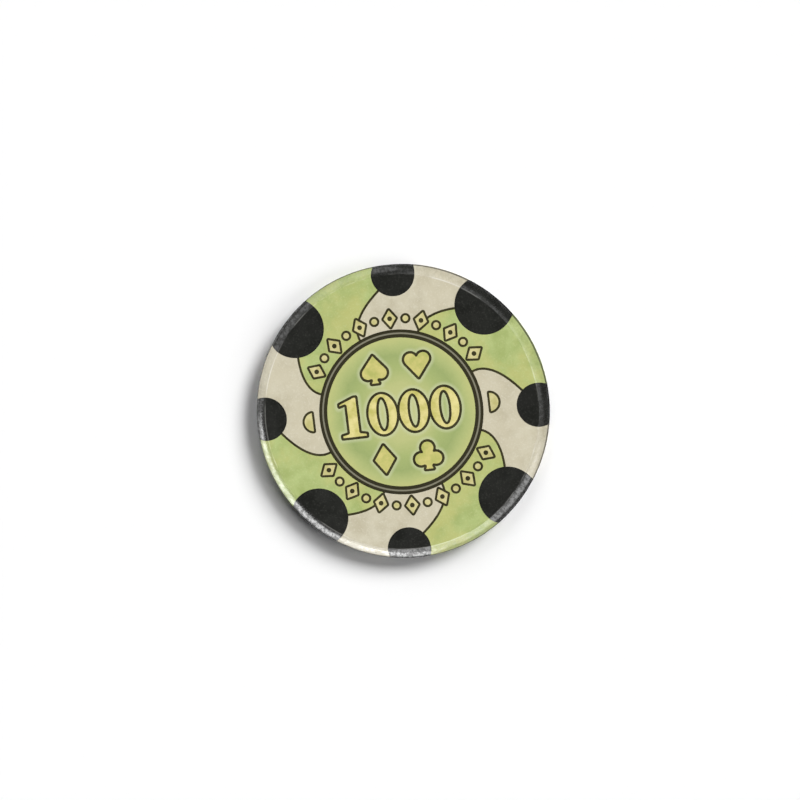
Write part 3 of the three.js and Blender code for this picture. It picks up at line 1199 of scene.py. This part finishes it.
# %% Number and suits
INK_WIDTH = 0.38
LABEL_INK = {"Level": LABEL_TOP, "Width": INK_WIDTH, "Height": 0.012, "Corner": 0.12}
LABEL_LINE = {**LABEL_INK, "Height": 0.02}

for name, outline, tint in (("number", number_drawn, number_tint), ("suits", suits_drawn, suit_tint)):
    film = film_tree.make(f"{name}_film_front", {**LABEL_INK, "Outline": outline, "Finish": tint})
    both_faces(film, "label_print", TURN_OVER)
    inked = line_tree.make(f"{name}_line_front", {**LABEL_LINE, "Outline": outline, "Finish": dark_ink})
    both_faces(inked, "dark_print", TURN_OVER)
    print(f"{name}: film of {len(film.data.polygons)} faces, line of {len(inked.data.polygons)}")

# %% [markdown]
# ## The border
# Above and below the label a row of lozenges and beads follows an arc, and a half moon marks each side.
# They could be drawn one by one, but the row repeats along a path, so Geometry Nodes place it: points
# along an arc take a lozenge or a bead in turn, each turned to face outwards. One half of the border is
# made, and a second copy is turned half-way round the chip.

# %% Lozenges, beads and half moons
BORDER_INPUTS = {
    **inputs_of("Object", "Lozenge", "Bead", "Moon"),
    **inputs_of("Float", "Radius", "Span", *INK_LABELS),
    "Count": "Int",
}
BORDER_SIZES = {"Radius": 12.4, "Span": math.radians(116), "Count": 13}
BORDER_INK = {"Level": THICK, "Width": INK_WIDTH, "Height": 0.013, "Corner": 0.1, "Finish": border_tint}
BORDER_LINE = {**BORDER_INK, "Height": 0.018, "Finish": dark_ink}
HALVES = 2


def border_recipe(name, lay):
    g = Recipe(name, BORDER_INPUTS)
    index = g.wire("GeometryNodeInputIndex")
    facing = g.input("Span") * (index / (g.input("Count") - 1) - 0.5)
    place = polar(g, g.input("Radius"), math.pi / 2 + facing)
    points = g.wire("GeometryNodePoints", None, {"Count": g.input("Count"), "Position": place})
    odd = g.maths("MODULO", index, 2.0)
    rows = []
    for motif, choice in (("Lozenge", 1 - odd), ("Bead", odd)):
        copies = {"Points": points, "Selection": choice, "Rotation": g.turn(facing)}
        rows.append(g.wire("GeometryNodeInstanceOnPoints", None, {**copies, "Instance": g.shape(motif)}))
    aside = {"Translation": g.vector(g.input("Radius")), "Rotation": (0, 0, math.pi / 2)}
    rows.append(g.wire("GeometryNodeTransform", None, {**aside, "Geometry": g.shape("Moon")}))
    return g.finish(lay(g, rounded(g, round_the_chip(g, g.joined(rows), HALVES))))


border_drawn = {"Lozenge": lozenge_drawn, "Bead": bead_drawn, "Moon": moon_drawn, **BORDER_SIZES}
film = border_recipe("border_film", ink_film).make("border_film_front", {**border_drawn, **BORDER_INK})
inked = border_recipe("border_line", ink_line).make("border_line_front", {**border_drawn, **BORDER_LINE})
both_faces(film, "label_print", TURN_OVER)
both_faces(inked, "dark_print", TURN_OVER)
for outline in (number_drawn, suits_drawn, lozenge_drawn, bead_drawn, moon_drawn):
    bpy.data.objects.remove(outline)
print(f"border: film of {len(film.data.polygons)} faces, line of {len(inked.data.polygons)}")

# %% [markdown]
# ## Keylines along the blades
# A dark keyline covers the joint between each blade and the ivory, from the ring out to the spot that
# ends it. It could be taken from the blade's mesh, but the recipe follows the same rule as the blade's
# edge, which is shorter and can't drift off the joint. The radius where an edge enters its spot has no
# short formula, so it is found by halving an interval. The blades run straight through the chip, so the
# rear keylines are the front ones moved straight down.

# %% Where the keylines end
HALVINGS = 40


def edge_swing(radius):
    """How far a blade's edge has swung round at a radius, worked out as its recipe does."""
    way = (radius - RING_OUTER) / (RIM - RING_OUTER)
    return RIM_SIZES["Whirl"] * math.cos(math.pi * min(max(way, 0), 1))


def enters_spot(size):
    """The radius at which a blade's edge enters its spot."""
    place = RIM_SIZES[size + " Place"]
    low, high = RING_OUTER, place
    for halving in range(HALVINGS):
        radius = (low + high) / 2
        turn = edge_swing(radius) - edge_swing(place)
        apart = math.sqrt(radius ** 2 + place ** 2 - 2 * radius * place * math.cos(turn))
        low, high = (radius, high) if apart > RIM_SIZES[size + " Radius"] else (low, radius)
    return low


key_ends = {size + " End": enters_spot(size) for size in EDGE_OF}
print("keylines end, in mm from the axis:", {label: round(end, 1) for label, end in key_ends.items()})

# %% Keylines
STRAIGHT_THROUGH = Matrix.Translation((0, 0, -THICK * MM))
KEY_POINTS = 40
KEY_EDGE = {label: RIM_SIZES[label] for label in ("Ring Radius", "Rim Radius", "Arc", "Whirl", "Phase")}
KEY_INK = {"Level": THICK, "Width": 0.31, "Height": 0.01}


def keyline_recipe():
    g = Recipe("keylines", inputs_of("Float", *KEY_EDGE, *KEY_INK, *key_ends))
    ring = g.input("Ring Radius")
    edges = []
    for size in EDGE_OF:
        straight = g.wire("GeometryNodeCurvePrimitiveLine")
        fine = g.wire("GeometryNodeResampleCurve", None, {"Curve": straight, "Count": KEY_POINTS})
        radius = ring + g.wire("GeometryNodeSplineParameter") * (g.input(size + " End") - ring)
        place = polar(g, radius, edge_angle(g, size, radius))
        edges.append(g.wire("GeometryNodeSetPosition", None, {"Geometry": fine, "Position": place}))
    return g.finish(ink_line(g, round_the_chip(g, g.joined(edges), BLADES)))


key_values = {**KEY_EDGE, **KEY_INK, **key_ends, "Finish": dark_ink}
keylines = keyline_recipe().make("keylines_front", key_values)
both_faces(keylines, "dark_print", STRAIGHT_THROUGH)
print(f"keylines: {len(keylines.data.polygons)} faces")

# %% [markdown]
# ## Floor
# The chip lies on a plain white sheet. A curved backdrop would do too, but seen from above only its flat
# part would show, so one large face is enough. It lies just below the rear print, so that nothing sinks
# into it.

# %% White sheet
FLOOR_SIZE = 8.0
FLOOR_LEVEL = -0.02 * MM
PAPER_DULL = (0.95, 0.95, 0.95, 1)
PAPER_BRIGHT = (0.97, 0.97, 0.97, 1)
PAPER_GRAIN = (0.8, 3.0)

sheet_mesh = bpy.data.meshes.new("floor")
half_side = FLOOR_SIZE / 2
corners = [(x * half_side, y * half_side, FLOOR_LEVEL) for x, y in ((-1, -1), (1, -1), (1, 1), (-1, 1))]
sheet_mesh.from_pydata(corners, [], [(0, 1, 2, 3)])
floor = placed("floor", sheet_mesh)
paper = Finish("white_sheet")
sheet_mesh.materials.append(paper.finish({
    "Base Color": paper.mix(paper.noise(*PAPER_GRAIN), PAPER_DULL, PAPER_BRIGHT),
    "Roughness": 1.0,
    "Specular IOR Level": 0.0,
}))
print(f"floor: {FLOOR_SIZE} m square")

# %% [markdown]
# ## Light
# In the photograph the light comes from the upper right: it lies evenly on the face, draws a bright band
# along the lower shoulder, and leaves a soft shadow at the lower left. One large lamp could not do all
# three, so they are kept apart, as flags and cards do in a studio. A high, soft sun lights the chip
# alone, and three lower ones light the sheet alone, by light linking: the main one makes the shadow, and
# two weaker flanks spread it round the sides. None of the suns shows in reflections. Those come from four
# panels that make no diffuse light: two strips at the lower left for the bright band, a dim strip for the
# upper left of the slope, and a dim card for the upper right. A faint pale world fills in from all sides.

# %% Suns
# A sun has a bearing in the picture, a height and a spread, all in degrees, then its strength, and says
# whether it lights the sheet alone (INCLUDE) or everything but the sheet (EXCLUDE).
SUNS = (
    ("chip_sun", 48, 77, 70, 3.64, "EXCLUDE"),
    ("sheet_sun", 42, 36, 25, 3.3, "INCLUDE"),
    ("right_flank", -10, 39, 32, 0.95, "INCLUDE"),
    ("left_flank", 94, 39, 32, 0.95, "INCLUDE"),
)
SUN_DISTANCE = 1.0


def place_light(data, bearing, height, distance):
    """Places a light by its direction in the picture and its height above the table, in degrees."""
    bearing, height = math.radians(bearing), math.radians(height)
    level = picture_right * math.cos(bearing) + picture_up * math.sin(bearing)
    towards = level * math.cos(height) + Vector((0, 0, math.sin(height)))
    lamp = placed(data.name, data)
    facing = towards.to_track_quat("Z", "Y").to_matrix().to_4x4()
    lamp.matrix_world = Matrix.Translation(towards * distance) @ facing
    lamp.visible_camera = False
    return lamp


for name, bearing, height, spread, strength, floor_state in SUNS:
    data = bpy.data.lights.new(name, "SUN")
    data.angle = math.radians(spread)
    data.energy = strength
    sun = place_light(data, bearing, height, SUN_DISTANCE)
    sun.visible_glossy = False
    receivers = bpy.data.collections.new(name + "_receivers")
    receivers.objects.link(floor)
    receivers.collection_objects[0].light_linking.link_state = floor_state
    sun.light_linking.receiver_collection = receivers
print(f"suns: {len(SUNS)}, linked to the chip or to the sheet")

# %% Panels and world
# A panel has a bearing and a height in degrees, then its distance and its sides in metres, and its watts.
PANELS = (
    ("left_strip", -128, 11, 0.12, (0.24, 0.06), 0.24),
    ("lower_strip", -68, 30, 0.12, (0.22, 0.06), 0.1),
    ("upper_strip", 140, 24, 0.12, (0.2, 0.06), 0.032),
    ("card", 40, 54, 0.2, (0.34, 0.1), 0.06),
)
WORLD_LIGHT = 0.05

for name, bearing, height, distance, sides, watts in PANELS:
    data = bpy.data.lights.new(name, "AREA")
    data.shape = "RECTANGLE"
    data.size, data.size_y = sides
    data.energy = watts
    place_light(data, bearing, height, distance).visible_diffuse = False

world = bpy.data.worlds.new("studio")
world.use_nodes = True
background = world.node_tree.nodes["Background"]
background.inputs["Color"].default_value = (1, 1, 1, 1)
background.inputs["Strength"].default_value = WORLD_LIGHT
scene.world = world
scene.view_settings.view_transform = "Standard"
print(f"studio: {len(PANELS)} panels and a pale world")
